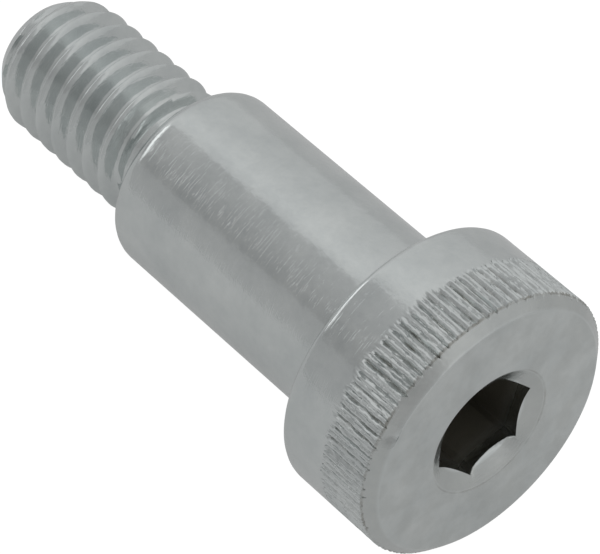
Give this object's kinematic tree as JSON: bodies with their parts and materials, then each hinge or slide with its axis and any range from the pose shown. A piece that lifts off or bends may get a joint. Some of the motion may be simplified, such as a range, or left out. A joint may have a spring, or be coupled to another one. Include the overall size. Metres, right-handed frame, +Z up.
{
  "type": "shoulder bolt",
  "caption": "Socket-head shoulder bolt: round knurled head with a hexagon socket, plain ground shoulder and a smaller threaded end.",
  "frame": {"origin": "middle of the ground shoulder, on the bolt's axis", "axes": "+X horizontally towards the thread, +Z up; the bolt lies at rest on its head's back rim and its thread end, so its axis leans 7.9 degrees down towards the thread"},
  "size_m": [0.0439, 0.0186, 0.0194],
  "materials": {
    "zinc_plated_steel": "clear zinc plating, satin, lightly scratched"
  },
  "bodies": {
    "root": {"shoulder_bolt": "zinc_plated_steel"}
  },
  "joints": []
}
